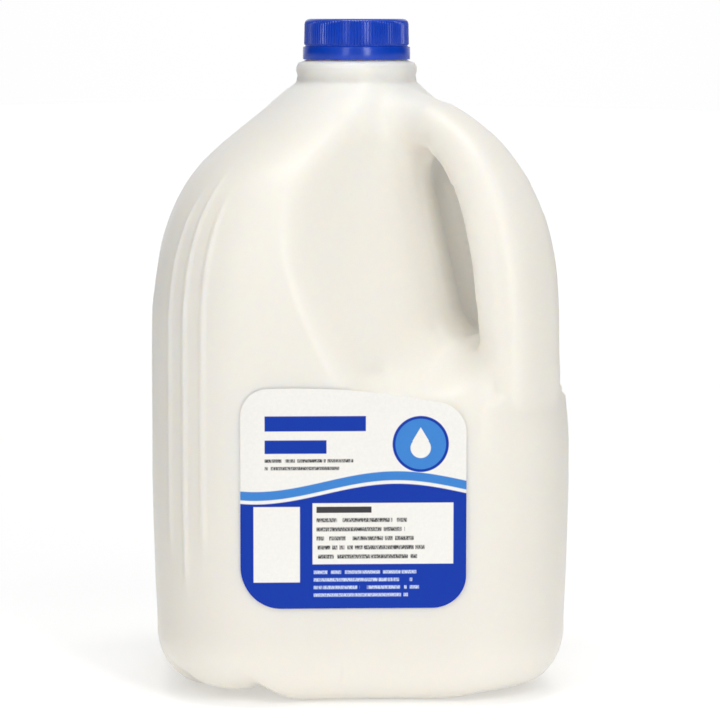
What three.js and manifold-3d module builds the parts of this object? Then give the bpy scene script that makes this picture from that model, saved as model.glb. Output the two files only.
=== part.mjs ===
import * as THREE from "three";
import { ParametricGeometry } from "three/addons/geometries/ParametricGeometry.js";
import { mergeVertices } from "three/addons/utils/BufferGeometryUtils.js";
import Module from "manifold-3d";

// A one-gallon milk jug, in millimetres, standing on z = 0 with +Z up.
// The handle corner points along +X, and the label is on the side facing +X -Y.

// Half the width across the flat sides, as [height, half width].
const HALF_WIDTH = [
  [24, 74.6],
  [46, 75.4],
  [84, 76.2],
  [122, 76.2],
  [140, 76],
  [148, 75.2],
  [159, 73.5],
  [170, 70.3],
  [181, 65.3],
  [190, 59.2],
  [199, 50.4],
  [206, 42.2],
  [213, 33.8],
  [219.5, 26.5],
  [224, 21.8],
];
// Half of the flat run of each side, as [height, half run].
const FLAT_RUN = [
  [24, 36],
  [150, 36],
  [170, 33.5],
  [191, 25],
  [205, 13.5],
  [215, 5],
  [222, 0],
  [230, 0],
];

// Foot and bottom.
const FOOT_RADIUS = 22;
const FOOT_TOP = 24;
const PUSH_UP = 6;
const PUSH_UP_CROWN = 0.4;
const LAND_START = 0.8;
const CORNER_LIFT = 3.4;
const GRIP_CORNER_LIFT = 2.2;
const NOTCH_LIFT = 2.6;
const NOTCH_ANGLE = 12;
const VALLEY_DEPTH = 1.8;

// Ribs up three of the corners, as [turn from the corner, lower end, upper end].
const RIBS = [
  [-5.2, 58, 180],
  [0, 44, 190],
  [5.2, 58, 180],
];
const RIB_HALF_WIDTH = 0.8;
const RIB_HEIGHT = 0.8;

// The two slanted panels of the grip pocket, one on each side of the handle.
const POCKET_LEVEL = 146;
const POCKET_REACH = 60;
const POCKET_TURN = 0.733;
const POCKET_LEAN = 0.38;
const POCKET_EDGE = 5;
const POCKET_NOSE = 14;
const POCKET_CORE = 23;
// The ledge under the pocket: its run of heights, its rise towards the grip and the slow start below it.
const LEDGE_LOW = 109.5;
const LEDGE_HIGH = 121.5;
const LEDGE_LIFT = 9;
const LEDGE_START = 92;
const LEDGE_EARLY = 0.05;

// Handle stations from the neck down, as [x, z, half thickness, half width].
const HANDLE = [
  [-2, 211.5, 7, 11],
  [12, 212.6, 9, 14],
  [27, 210.6, 9.3, 13],
  [39, 207, 8.9, 12.5],
  [50.4, 201.8, 8.4, 13],
  [60.7, 194.3, 8.2, 15],
  [70.4, 182.8, 8.3, 17.5],
  [76.3, 170.6, 8.4, 19],
  [79.9, 157.4, 8.5, 19.3],
  [81.4, 143, 8.6, 19],
  [81.7, 128, 8.8, 18.6],
  [81.5, 113, 9, 19.2],
  [79, 98, 9, 19],
];
// The grip's section is a rectangle with its outer corners cut off and all corners rounded.
const GRIP_FACE = 0.58;
const GRIP_POWER = 6;
const HANDLE_SIDES = 24;
const HANDLE_RUNS = 40;

// The thin web round the finger hole, as [x, z] places of its outside and of the hole.
const WEB_THICKNESS = 3.2;
const WEB_EDGE = [
  [27, 122],
  [79, 108],
  [79, 143],
  [76, 160],
  [67, 184],
  [50, 201],
  [24, 208],
];
const FINGER_HOLE = [
  [51.6, 134.6],
  [57, 131.8],
  [63, 132.4],
  [66.6, 137],
  [67.6, 147],
  [65.6, 158],
  [61.8, 170],
  [56.2, 181],
  [49.5, 191],
  [42, 197],
  [37, 195],
  [35.6, 188.5],
  [36.4, 181],
  [39, 171.5],
  [42.2, 160.5],
  [45.3, 150],
  [47.8, 142],
];
const HOLE_RUNS = 44;

// Neck rings as [radius, height], from the shoulder up to the rim.
const NECK = [
  [21.8, 224.2],
  [22.4, 225.6],
  [22.5, 227.4],
  [22.0, 229.2],
  [20.6, 230.2],
  [16.9, 230.2],
  [16.9, 243.9],
];

// Screw cap.
const CAP_BOTTOM = 230.9;
const CAP_TOP = 246;
const CAP_BAND = 20;
const CAP_SKIRT = 19.3;
const CAP_INNER = 17.3;
const CAP_ROOF = 244.3;
const KNURLS = 50;
const KNURL_DEPTH = 0.45;

// Label on the front side.
const LABEL_LEFT = -44.6;
const LABEL_RIGHT = 35.8;
const LABEL_LOW = 36.5;
const LABEL_HIGH = 112;
const LABEL_PEAK = -25;
const LABEL_RISE = 3.5;
const LABEL_ARC = 0.0019;
const LABEL_CORNER = 12;
const LABEL_GAP = 0.3;
const LABEL_SKIN = 0.4;
const LABEL_COLUMNS = 10;
const LABEL_ROWS = 14;

// Angles round the jug, in degrees, close together at the corners.
const CORNER_ANGLES = [-20, -15.5, -11, -7, -6, -5.2, -4.4, -0.8, 0, 0.8, 4.4, 5.2, 6, 7, 11, 15.5, 20];
const SIDE_ANGLES = [-17, -8.5, 0, 8.5, 17];
const GRIP_ANGLES = [0, 3, 7, 12, 17, 22, 27, 32, 37, 41, 45, 49, 53, 57, 61, 65];
// Heights of the rings on the side.
const SIDE_HEIGHTS = [
  24, 38, 46, 58, 61, 84, 104, 109.5, 112, 114.2, 116.4, 118.8, 121.5, 126, 132, 139, 147, 155, 163, 170,
  176.5, 182, 187.5, 192, 196.5, 201, 205, 209, 213, 216.5, 220,
];
// Rings of the bottom, as a share of the way out to the foot.
const BOTTOM_SHARES = [0, PUSH_UP_CROWN, 0.6, LAND_START];
// Rings of the foot's rounding, in degrees.
const FOOT_TURNS = [0, 16, 32, 48, 62, 76];

const wasm = await Module();
wasm.setup();

const rad = THREE.MathUtils.degToRad;
const { clamp, euclideanModulo, lerp, smoothstep } = THREE.MathUtils;

// Slope of a knotted curve at knot n, without overshoot.
function slopeAt(knots, n) {
  if (n === 0 || n === knots.length - 1) return 0;
  const before = (knots[n][1] - knots[n - 1][1]) / (knots[n][0] - knots[n - 1][0]);
  const after = (knots[n + 1][1] - knots[n][1]) / (knots[n + 1][0] - knots[n][0]);
  return before * after <= 0 ? 0 : (2 * before * after) / (before + after);
}

// A smooth curve through the knots, read at x.
function along(knots, x) {
  const last = knots.length - 1;
  if (x <= knots[0][0]) return knots[0][1];
  if (x >= knots[last][0]) return knots[last][1];
  const i = knots.findIndex((k) => k[0] > x) - 1;
  const [x0, y0] = knots[i];
  const [x1, y1] = knots[i + 1];
  const span = x1 - x0;
  const t = (x - x0) / span;
  const rise = y1 - y0;
  const bendIn = span * slopeAt(knots, i) - rise;
  const bendOut = rise - span * slopeAt(knots, i + 1);
  return y0 + t * rise + t * (1 - t) * (bendIn * (1 - t) + bendOut * t);
}

// The lesser of two distances, with the meeting edge rounded over.
function softLesser(a, b, edge) {
  const near = Math.max(edge - Math.abs(a - b), 0) / edge;
  return Math.min(a, b) - (near * near * edge) / 4;
}

// Turn away from the nearest corner, in degrees, with its sign.
function fromCorner(angle) {
  return angle - 90 * Math.round(angle / 90);
}

function onHandleCorner(angle) {
  return Math.cos(rad(angle)) > 0.7072;
}

function roundedSquare(angle, half, flat) {
  const turn = fromCorner(angle + 45);
  const c = Math.cos(rad(turn));
  const s = Math.abs(Math.sin(rad(turn)));
  if (half * s <= flat * c) return half / c;
  const reach = flat * (c + s);
  const radius = half - flat;
  return reach + Math.sqrt(reach * reach - 2 * flat * flat + radius * radius);
}

function pocketRadius(angle, z) {
  const x = Math.cos(rad(angle)) * Math.SQRT1_2;
  const y = Math.abs(Math.sin(rad(angle))) * Math.SQRT1_2;
  const near = x + y + POCKET_TURN * (x - y);
  const far = x - y + POCKET_TURN * (x + y);
  if (near < 0.1) return Infinity;
  const reach = POCKET_REACH - POCKET_LEAN * (z - POCKET_LEVEL);
  const wall = far < 0.1 ? reach / near : softLesser(reach / near, reach / far, POCKET_NOSE);
  return Math.max(wall, POCKET_CORE);
}

function ribHeight(angle, z) {
  if (onHandleCorner(angle)) return 0;
  const turn = fromCorner(angle);
  const onRib = ([at, low, high]) => Math.abs(turn - at) < RIB_HALF_WIDTH / 2 && z > low && z < high;
  return RIBS.some(onRib) ? RIB_HEIGHT : 0;
}

// How far the pocket is cut in at a height, from 0 to 1.
function pocketShare(angle, z) {
  const turn = Math.abs(euclideanModulo(angle + 180, 360) - 180);
  const lift = LEDGE_LIFT * (1 - smoothstep(turn, 8, 34));
  const early = LEDGE_EARLY * smoothstep(z, LEDGE_START, LEDGE_LOW + 4);
  return lerp(early, 1, smoothstep(z - lift, LEDGE_LOW, LEDGE_HIGH));
}

function sideRadius(angle, z) {
  const plain = roundedSquare(angle, along(HALF_WIDTH, z), along(FLAT_RUN, z));
  const cut = softLesser(plain, pocketRadius(angle, z), POCKET_EDGE);
  return lerp(plain, cut, pocketShare(angle, z)) + ribHeight(angle, z);
}

// How far the bottom edge is lifted off the ground.
function footLift(angle) {
  const turn = Math.abs(fromCorner(angle));
  if (onHandleCorner(angle)) return GRIP_CORNER_LIFT * (1 - smoothstep(turn, 4, 24));
  const notch = NOTCH_LIFT * Math.exp(-(((turn - NOTCH_ANGLE) / 4) ** 2));
  return CORNER_LIFT * (1 - smoothstep(turn, 13, 24)) + notch * (1 - smoothstep(turn, 16, 24));
}

// A shallow valley on each side of a corner, running together up the foot.
function valleyDepth(angle, z) {
  if (onHandleCorner(angle)) return 0;
  const rise = clamp(z / FOOT_TOP, 0, 1);
  const turn = Math.abs(fromCorner(angle)) - NOTCH_ANGLE * (1 - rise);
  return VALLEY_DEPTH * (1 - rise) * Math.exp(-((turn / 3.5) ** 2));
}

function bottomPoint(angle, share) {
  const lift = footLift(angle);
  const edge = sideRadius(angle, FOOT_TOP) - FOOT_RADIUS;
  const rise = 1 - smoothstep(share, PUSH_UP_CROWN, LAND_START);
  return [share * edge, lerp(lift, PUSH_UP, rise)];
}

function footPoint(angle, turn) {
  const lift = footLift(angle);
  const edge = sideRadius(angle, FOOT_TOP) - FOOT_RADIUS;
  const z = FOOT_TOP - (FOOT_TOP - lift) * Math.cos(rad(turn));
  return [edge + FOOT_RADIUS * Math.sin(rad(turn)) - valleyDepth(angle, z), z];
}

const RINGS = [
  ...BOTTOM_SHARES.map((share) => (angle) => bottomPoint(angle, share)),
  ...FOOT_TURNS.map((turn) => (angle) => footPoint(angle, turn)),
  ...SIDE_HEIGHTS.map((z) => (angle) => [sideRadius(angle, z), z]),
  ...NECK.map((ring) => () => ring),
  () => [0, NECK.at(-1)[1]],
];

function jugAngles() {
  const grip = [...GRIP_ANGLES.slice(1).reverse().map((a) => -a), ...GRIP_ANGLES];
  const corners = [90, 180, 270].flatMap((at) => CORNER_ANGLES.map((a) => at + a));
  const sides = [135, 225].flatMap((at) => SIDE_ANGLES.map((a) => at + a));
  const all = [...grip, ...corners, ...sides].sort((a, b) => a - b);
  return [...all, all[0] + 360];
}

function solid(geometry) {
  geometry.deleteAttribute("normal");
  geometry.deleteAttribute("uv");
  const merged = mergeVertices(geometry, 1e-3);
  const vertProperties = merged.attributes.position.array;
  const triVerts = new Uint32Array(merged.index.array);
  return new wasm.Manifold(new wasm.Mesh({ numProp: 3, vertProperties, triVerts }));
}

function geometryOf(manifold) {
  const { vertProperties, triVerts } = manifold.getMesh();
  const geometry = new THREE.BufferGeometry();
  geometry.setAttribute("position", new THREE.BufferAttribute(vertProperties, 3));
  geometry.setIndex(new THREE.BufferAttribute(triVerts, 1));
  geometry.computeVertexNormals();
  return geometry;
}

// The body, neck and shoulder as one closed surface round the axis.
function jugBody() {
  const angles = jugAngles();
  const slices = angles.length - 1;
  const stacks = RINGS.length - 1;
  return new ParametricGeometry(
    (s, t, point) => {
      const angle = angles[Math.round(s * slices)];
      const [r, z] = RINGS[Math.round(t * stacks)](angle);
      point.set(r * Math.cos(rad(angle)), r * Math.sin(rad(angle)), z);
    },
    slices,
    stacks,
  );
}

// Reach of the grip's section from its middle, towards a direction out of and across the handle.
function gripReach(out, across, thick, wide) {
  const side = Math.abs(across);
  const cut = Math.max(out + side, 0) / (thick + GRIP_FACE * wide);
  const powers = [Math.abs(out) / thick, side / wide, cut].map((share) => share ** GRIP_POWER);
  return (powers[0] + powers[1] + powers[2]) ** (-1 / GRIP_POWER);
}

// The grip, swept down the handle corner from the neck to the ledge.
function handle() {
  const path = new THREE.CatmullRomCurve3(HANDLE.map(([x, z]) => new THREE.Vector3(x, 0, z)));
  const step = 1 / (HANDLE.length - 1);
  const thickness = HANDLE.map((row, i) => [i * step, row[2]]);
  const width = HANDLE.map((row, i) => [i * step, row[3]]);
  return new ParametricGeometry(
    (s, t, point) => {
      const shut = s < 1e-6 || s > 1 - 1e-6 ? 0 : 1;
      const turn = 2 * Math.PI * (t === 1 ? 0 : t);
      const tangent = path.getTangent(s);
      const out = Math.cos(turn);
      const across = Math.sin(turn);
      const reach = shut * gripReach(out, across, along(thickness, s), along(width, s));
      path.getPoint(s, point);
      point.x -= tangent.z * out * reach;
      point.z += tangent.x * out * reach;
      point.y = across * reach;
    },
    HANDLE_RUNS,
    HANDLE_SIDES,
  );
}

// The web that joins the grip to the body, with the finger hole through it.
function web() {
  const corners = (rows) => rows.map(([x, z]) => new THREE.Vector2(x, z));
  const shape = new THREE.Shape(corners(WEB_EDGE));
  const ring = new THREE.SplineCurve(corners([...FINGER_HOLE, FINGER_HOLE[0]]));
  shape.holes.push(new THREE.Path(ring.getPoints(HOLE_RUNS)));
  const plate = new THREE.ExtrudeGeometry(shape, { depth: WEB_THICKNESS, bevelEnabled: false });
  plate.rotateX(Math.PI / 2);
  plate.translate(0, WEB_THICKNESS / 2, 0);
  return plate;
}

function capRing(r, z, grip) {
  return (tooth) => [r - (grip && tooth ? KNURL_DEPTH : 0), z];
}

const CAP_RINGS = [
  capRing(0, CAP_ROOF, false),
  capRing(CAP_INNER, CAP_ROOF, false),
  capRing(CAP_INNER, CAP_BOTTOM, false),
  capRing(CAP_BAND - 0.3, CAP_BOTTOM, false),
  capRing(CAP_BAND, CAP_BOTTOM + 0.5, false),
  capRing(CAP_BAND, CAP_BOTTOM + 4.6, false),
  capRing(CAP_SKIRT - 0.4, CAP_BOTTOM + 5.2, false),
  capRing(CAP_SKIRT + 0.2, CAP_BOTTOM + 5.8, true),
  capRing(CAP_SKIRT, CAP_TOP - 1.1, true),
  capRing(CAP_SKIRT - 0.9, CAP_TOP, false),
  capRing(0, CAP_TOP, false),
];

// The cap with its ridged skirt over a plain tear band.
function cap() {
  const slices = 2 * KNURLS;
  const stacks = CAP_RINGS.length - 1;
  return new ParametricGeometry(
    (s, t, point) => {
      const index = Math.round(s * slices) % slices;
      const turn = (2 * Math.PI * index) / slices;
      const [r, z] = CAP_RINGS[Math.round(t * stacks)](index % 2 === 1);
      point.set(r * Math.cos(turn), r * Math.sin(turn), z);
    },
    slices,
    stacks,
  );
}

// Depth of the front side at a place on it.
function frontDepth(across, z) {
  const flat = along(FLAT_RUN, z);
  const half = along(HALF_WIDTH, z);
  const radius = half - flat;
  const past = Math.max(Math.abs(across) - flat, 0);
  return half - radius + Math.sqrt(radius * radius - past * past);
}

// How far the label's sides draw in towards its top and bottom.
function labelInset(z) {
  const near = Math.min(z - LABEL_LOW, LABEL_HIGH - z);
  const past = Math.max(LABEL_CORNER - near, 0);
  return LABEL_CORNER - Math.sqrt(LABEL_CORNER * LABEL_CORNER - past * past);
}

function labelPoint(column, row, lift, point) {
  const ease = 0.5 - 0.5 * Math.cos(Math.PI * row);
  const level = lerp(LABEL_LOW, LABEL_HIGH, ease);
  const inset = labelInset(level);
  const across = lerp(LABEL_LEFT + inset, LABEL_RIGHT - inset, column);
  const z = level + ease * (LABEL_RISE - LABEL_ARC * (across - LABEL_PEAK) ** 2);
  const depth = frontDepth(across, z) + LABEL_GAP + lift;
  point.set((across + depth) * Math.SQRT1_2, (across - depth) * Math.SQRT1_2, z);
}

// A thin skin that lies on the front side, closed round its edge and along its top and bottom.
function label() {
  const around = 2 * LABEL_COLUMNS + 2;
  const stacks = LABEL_ROWS + 2;
  return new ParametricGeometry(
    (s, t, point) => {
      const index = Math.round(s * around) % around;
      const level = Math.round(t * stacks);
      const outside = index <= LABEL_COLUMNS;
      const column = outside ? index : around - 1 - index;
      const row = clamp(level - 1, 0, LABEL_ROWS) / LABEL_ROWS;
      const shut = level === 0 || level === stacks;
      labelPoint(column / LABEL_COLUMNS, row, outside && !shut ? LABEL_SKIN : 0, point);
    },
    around,
    stacks,
  );
}

function node(name, geometry, color, roughness) {
  const material = new THREE.MeshStandardMaterial({ color, roughness, metalness: 0 });
  const mesh = new THREE.Mesh(geometry, material);
  mesh.name = name;
  return mesh;
}

const group = new THREE.Group();
group.name = "milk_jug";
const jug = solid(jugBody()).add(solid(handle())).add(solid(web()));
group.add(node("jug", geometryOf(jug), 0xf1ecdf, 0.45));
group.add(node("cap", geometryOf(solid(cap())), 0x2343b0, 0.4));
group.add(node("label", geometryOf(solid(label())), 0xf3f3f0, 0.5));

export default group;
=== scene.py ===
import math

import bpy
import numpy as np
from bpy.props import FloatProperty, FloatVectorProperty, IntProperty, PointerProperty
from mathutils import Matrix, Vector


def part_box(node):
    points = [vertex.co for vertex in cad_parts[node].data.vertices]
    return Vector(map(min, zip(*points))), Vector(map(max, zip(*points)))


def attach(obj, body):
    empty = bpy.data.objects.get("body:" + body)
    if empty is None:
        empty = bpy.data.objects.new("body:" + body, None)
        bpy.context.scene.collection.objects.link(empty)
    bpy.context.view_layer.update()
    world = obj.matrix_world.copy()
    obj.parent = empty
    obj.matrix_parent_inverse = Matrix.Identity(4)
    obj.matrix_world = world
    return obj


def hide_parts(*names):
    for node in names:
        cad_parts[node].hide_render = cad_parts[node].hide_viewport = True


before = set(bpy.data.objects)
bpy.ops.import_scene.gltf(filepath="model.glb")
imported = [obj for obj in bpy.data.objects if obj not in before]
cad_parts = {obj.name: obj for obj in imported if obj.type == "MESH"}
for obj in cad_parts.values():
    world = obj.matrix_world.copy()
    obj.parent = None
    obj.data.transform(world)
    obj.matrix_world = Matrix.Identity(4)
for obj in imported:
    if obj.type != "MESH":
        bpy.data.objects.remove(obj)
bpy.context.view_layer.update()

bl_info = {
    "name": "Milk Jug",
    "version": (1, 0, 0),
    "blender": (4, 5, 0),
    "location": "View3D > Sidebar > Milk Jug",
    "description": "Dresses a gallon milk jug: moulded jug, ridged cap, printed label and a studio",
    "category": "Object",
}

MM = 0.001

# The jug's form in millimetres, in the frame of the CAD part.
# Half the width across the flat sides, as (height, half width).
HALF_WIDTH = (
    (24, 74.6), (46, 75.4), (84, 76.2), (122, 76.2), (140, 76), (148, 75.2), (159, 73.5), (170, 70.3),
    (181, 65.3), (190, 59.2), (199, 50.4), (206, 42.2), (213, 33.8), (219.5, 26.5), (224, 21.5),
    (225.6, 22.2), (227.4, 22.5), (229.2, 22.0), (230.2, 20.6), (230.8, 16.9), (250, 16.9),
)
# Half of the flat run of each side, as (height, half run).
FLAT_RUN = ((24, 36), (150, 36), (170, 33.5), (191, 25), (205, 13.5), (215, 5), (222, 0), (250, 0))

FOOT_RADIUS = 22
FOOT_TOP = 24
# The push-up falls to the flat lands between two shares of the way to the foot's edge.
PUSH_UP = 6
PUSH_UP_CROWN = 0.4
LAND_START = 0.8
# Lift of the foot at the corners, which fades out between two turns from the corner, in degrees.
CORNER_LIFT = 3.4
CORNER_FADE = (13, 24)
GRIP_CORNER_LIFT = 2.2
GRIP_CORNER_FADE = (4, 24)
# Notches beside the corners, each with a valley that runs up from it.
NOTCH_LIFT = 2.6
NOTCH_ANGLE = 12
NOTCH_SPREAD = 4
NOTCH_FADE = (16, 24)
VALLEY_DEPTH = 1.8
VALLEY_SPREAD = 3.5
# Cosine of the turn that bounds the handle's quarter of the jug.
HANDLE_QUARTER = 0.7072

# Ribs up three of the corners, as (turn from the corner, lower end, upper end).
RIBS = ((-5.2, 58, 180), (0, 44, 190), (5.2, 58, 180))
RIB_HALF_TURN = 1.15
RIB_END = 9
# The stretch of a corner that holds its ribs: half its turn in degrees, and its heights.
RIBBED_TURN = 7.2
RIBBED_HEIGHTS = (33, 201)
# Short upright grooves low on the front and back sides, as places across the side.
GROOVES = (-9.2, 2.1, 13.9, 25.7)
GROOVED_SIDE = 76
# Cosine of the turn from the middle of a grooved side within which its grooves lie.
GROOVED_FACING = 0.9
GROOVE_HALF_WIDTH = 0.9
GROOVE_DEPTH = 0.5
GROOVE_TOP = 17
GROOVE_END = 3

# The grip pocket: two flat walls that lean in towards the top and meet in a rounded nose behind the grip.
POCKET_LEVEL = 146
POCKET_REACH = 60
POCKET_TURN = 0.733
POCKET_LEAN = 0.38
POCKET_EDGE = 5
POCKET_NOSE = 14
POCKET_CORE = 23
# A wall that a ray from the axis only grazes is cut off, and one that the ray misses is far off.
POCKET_GRAZED = 0.05
POCKET_MISSED = 0.1
FAR_OFF = 1000
# The ledge under the pocket, which starts gently and is higher under the grip.
LEDGE_LOW = 109.5
LEDGE_HIGH = 121.5
LEDGE_START = 92
LEDGE_EARLY_END = 113.5
LEDGE_EARLY = 0.05
LEDGE_LIFT = 9
LEDGE_LIFT_FADE = (2, 14)

# Handle stations from the neck down, as (x, z, half thickness, half width).
HANDLE = (
    (-2, 211.5, 7, 11), (12, 212.6, 9, 14), (27, 210.6, 9.3, 13), (39.5, 208.2, 7.7, 12.5),
    (51.2, 202.8, 7.3, 13), (61.3, 194.9, 7.6, 15), (70.3, 182.7, 8.4, 17.5), (75.9, 170.4, 8.8, 19),
    (79.4, 157.3, 9, 19.3), (80.9, 143, 9.1, 19), (81.3, 128, 9.2, 18.6), (81.5, 113, 9, 19.2),
    (79, 98, 9, 19),
)
# The grip's section is a rectangle with its outer corners cut off and all corners rounded.
GRIP_FACE = 0.58
GRIP_POWER = 6
HANDLE_SAMPLES = 240
HANDLE_END = 2
# Space round the handle: its least x, its half width and its heights.
HANDLE_BACK = 0
HANDLE_ASIDE = 46
HANDLE_HEIGHTS = (80, 226)
# The handle's fillet fades in above the label, and out below the neck and low on the grip's outside.
FILLET_LOW = (94, 106)
FILLET_HIGH = (209, 218)
FILLET_HIGH_LOSS = 0.9
FILLET_OUTSIDE = (74, 82)
FILLET_OUTSIDE_HEIGHTS = (118, 150)
FILLET_OUTSIDE_LOSS = 0.85

# The thin web between grip and body, with the finger hole through it.
WEB_HALF = 2.4
WEB_ROUNDING = 2.2
# The web grows thicker under the hole, by this much between two heights.
WEB_FOOT = 13
WEB_FOOT_TOP = 140
WEB_FOOT_FULL = 120
WEB_EDGE = ((27, 122), (79, 108), (79, 143), (76, 160), (67, 184), (50, 201), (24, 208))
FINGER_HOLE = (
    (53.6, 135.2), (58, 131.8), (63, 132.4), (66.6, 137), (67.6, 147), (65.6, 158), (61.8, 170), (56.2, 181),
    (49.5, 191), (42, 197), (37.8, 195), (37, 188.5), (38.3, 181), (41.2, 171.5), (44.5, 160.5), (47.6, 150),
    (50.1, 142),
)
# Steps of the hole's outline from one point to the next, for its form and for picking faces.
HOLE_RUNS = 8
HOLE_RUNS_COARSE = 3

# A fillet grows to its full reach over this turn between two surfaces, as 1 less the turn's cosine.
FILLET_TURN = (0.05, 0.7)
LEAST_FILLET = 0.01
LEAST_SLOPE = 0.001
LEAST_SLOPE_SQUARED = 0.2
LONGEST_STEP = 2
# The neck above these heights, under the cap, stays as the CAD part has it.
NECK_KEPT = (229.6, 230.4)

# Places on the handle's skin, as ranges of x, of the distance from the handle's plane and of height.
GRIP_ROOT = ((46, 82), (8, 40), (92, 134))
GRIP_EDGE = ((58, 80), (8, 24), (118, 186))
GRIP_FOOT = ((58, 80), (8, 24), (118, 144))
NECK_FOOT = ((8, 40), (0, 30), (203, 221))
HANDLE_CROTCH = ((24, 47), (0, 16), (185, 204))
# The finger hole's rim and lip, as a reach from its edge and a distance from the handle's plane.
HOLE_RIM = (4, 7)
HOLE_LIP = (6.5, 9)
# The whole hole lies beyond this x.
HOLE_BACK = 20


class JugProperties(bpy.types.PropertyGroup):
    """Sizes and colours of the jug."""

    voxel: FloatProperty(
        name="Mesh size", description="Spacing of the skin's mesh", default=0.00175, unit="LENGTH",
    )
    handle_fillet: FloatProperty(
        name="Handle fillet", description="Reach of the blend where the handle meets the body",
        default=0.013, unit="LENGTH",
    )
    web_fillet: FloatProperty(
        name="Web fillet", description="Reach of the blend round the web", default=0.006, unit="LENGTH",
    )
    rib_height: FloatProperty(
        name="Rib height", description="Height of the corner ribs", default=0.0008, unit="LENGTH",
    )
    plastic: FloatVectorProperty(
        name="Plastic", description="Colour of the filled jug", subtype="COLOR", size=3,
        default=(0.9, 0.872, 0.812), min=0, max=1,
    )
    headspace: FloatVectorProperty(
        name="Headspace", description="Colour of the empty plastic near the neck", subtype="COLOR", size=3,
        default=(0.895, 0.88, 0.835), min=0, max=1,
    )
    milk_level: FloatProperty(
        name="Milk level", description="Height that the milk reaches", default=0.206, unit="LENGTH",
    )


class CapProperties(bpy.types.PropertyGroup):
    """Sizes and colour of the screw cap."""

    ridges: IntProperty(
        name="Ridges", description="Number of grip ridges round the skirt", default=110, min=12,
    )
    ridge_depth: FloatProperty(
        name="Ridge depth", description="Depth of the grip ridges", default=0.00035, unit="LENGTH",
    )
    plastic: FloatVectorProperty(
        name="Plastic", description="Colour of the cap", subtype="COLOR", size=3,
        default=(0.001, 0.056, 0.55), min=0, max=1,
    )


class LabelProperties(bpy.types.PropertyGroup):
    """Colours of the label's print."""

    film: FloatVectorProperty(
        name="Film", description="White of the label", subtype="COLOR", size=3,
        default=(0.915, 0.896, 0.848), min=0, max=1,
    )
    blue: FloatVectorProperty(
        name="Blue", description="Main blue of the print", subtype="COLOR", size=3,
        default=(0.001, 0.038, 0.4), min=0, max=1,
    )
    sky: FloatVectorProperty(
        name="Light blue", description="Light blue of the print", subtype="COLOR", size=3,
        default=(0.05, 0.24, 0.66), min=0, max=1,
    )
    ink: FloatVectorProperty(
        name="Ink", description="Dark grey of the fine print", subtype="COLOR", size=3,
        default=(0.05, 0.05, 0.055), min=0, max=1,
    )


class StageProperties(bpy.types.PropertyGroup):
    """The studio: camera, floor and light."""

    azimuth: FloatProperty(
        name="Azimuth", description="Turn of the camera round the jug", subtype="ANGLE",
        default=math.radians(42.5),
    )
    distance: FloatProperty(
        name="Distance", description="From the jug's axis to the camera", default=1.4, unit="LENGTH",
    )
    height: FloatProperty(name="Height", description="Height of the camera", default=0.246, unit="LENGTH")
    aim_height: FloatProperty(
        name="Aim height", description="Height that the camera points at", default=0.1186, unit="LENGTH",
    )
    aim_right: FloatProperty(
        name="Aim right", description="How far right of the axis it points", default=0.0013, unit="LENGTH",
    )
    lens: FloatProperty(name="Lens", description="Focal length of the camera in mm", default=187.5)
    floor: FloatVectorProperty(
        name="Floor", description="Colour of the floor", subtype="COLOR", size=3,
        default=(0.95, 0.95, 0.95), min=0, max=1,
    )
    floor_glow: FloatProperty(
        name="Floor glow", description="Light that comes through the floor", default=0.56, min=0,
    )


class MilkJugSettings(bpy.types.PropertyGroup):
    """All settings of the milk jug."""

    jug: PointerProperty(type=JugProperties)
    cap: PointerProperty(type=CapProperties)
    label: PointerProperty(type=LabelProperties)
    stage: PointerProperty(type=StageProperties)


# Shaders.

WHITE = (1, 1, 1, 1)
BLACK = (0, 0, 0, 1)


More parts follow.
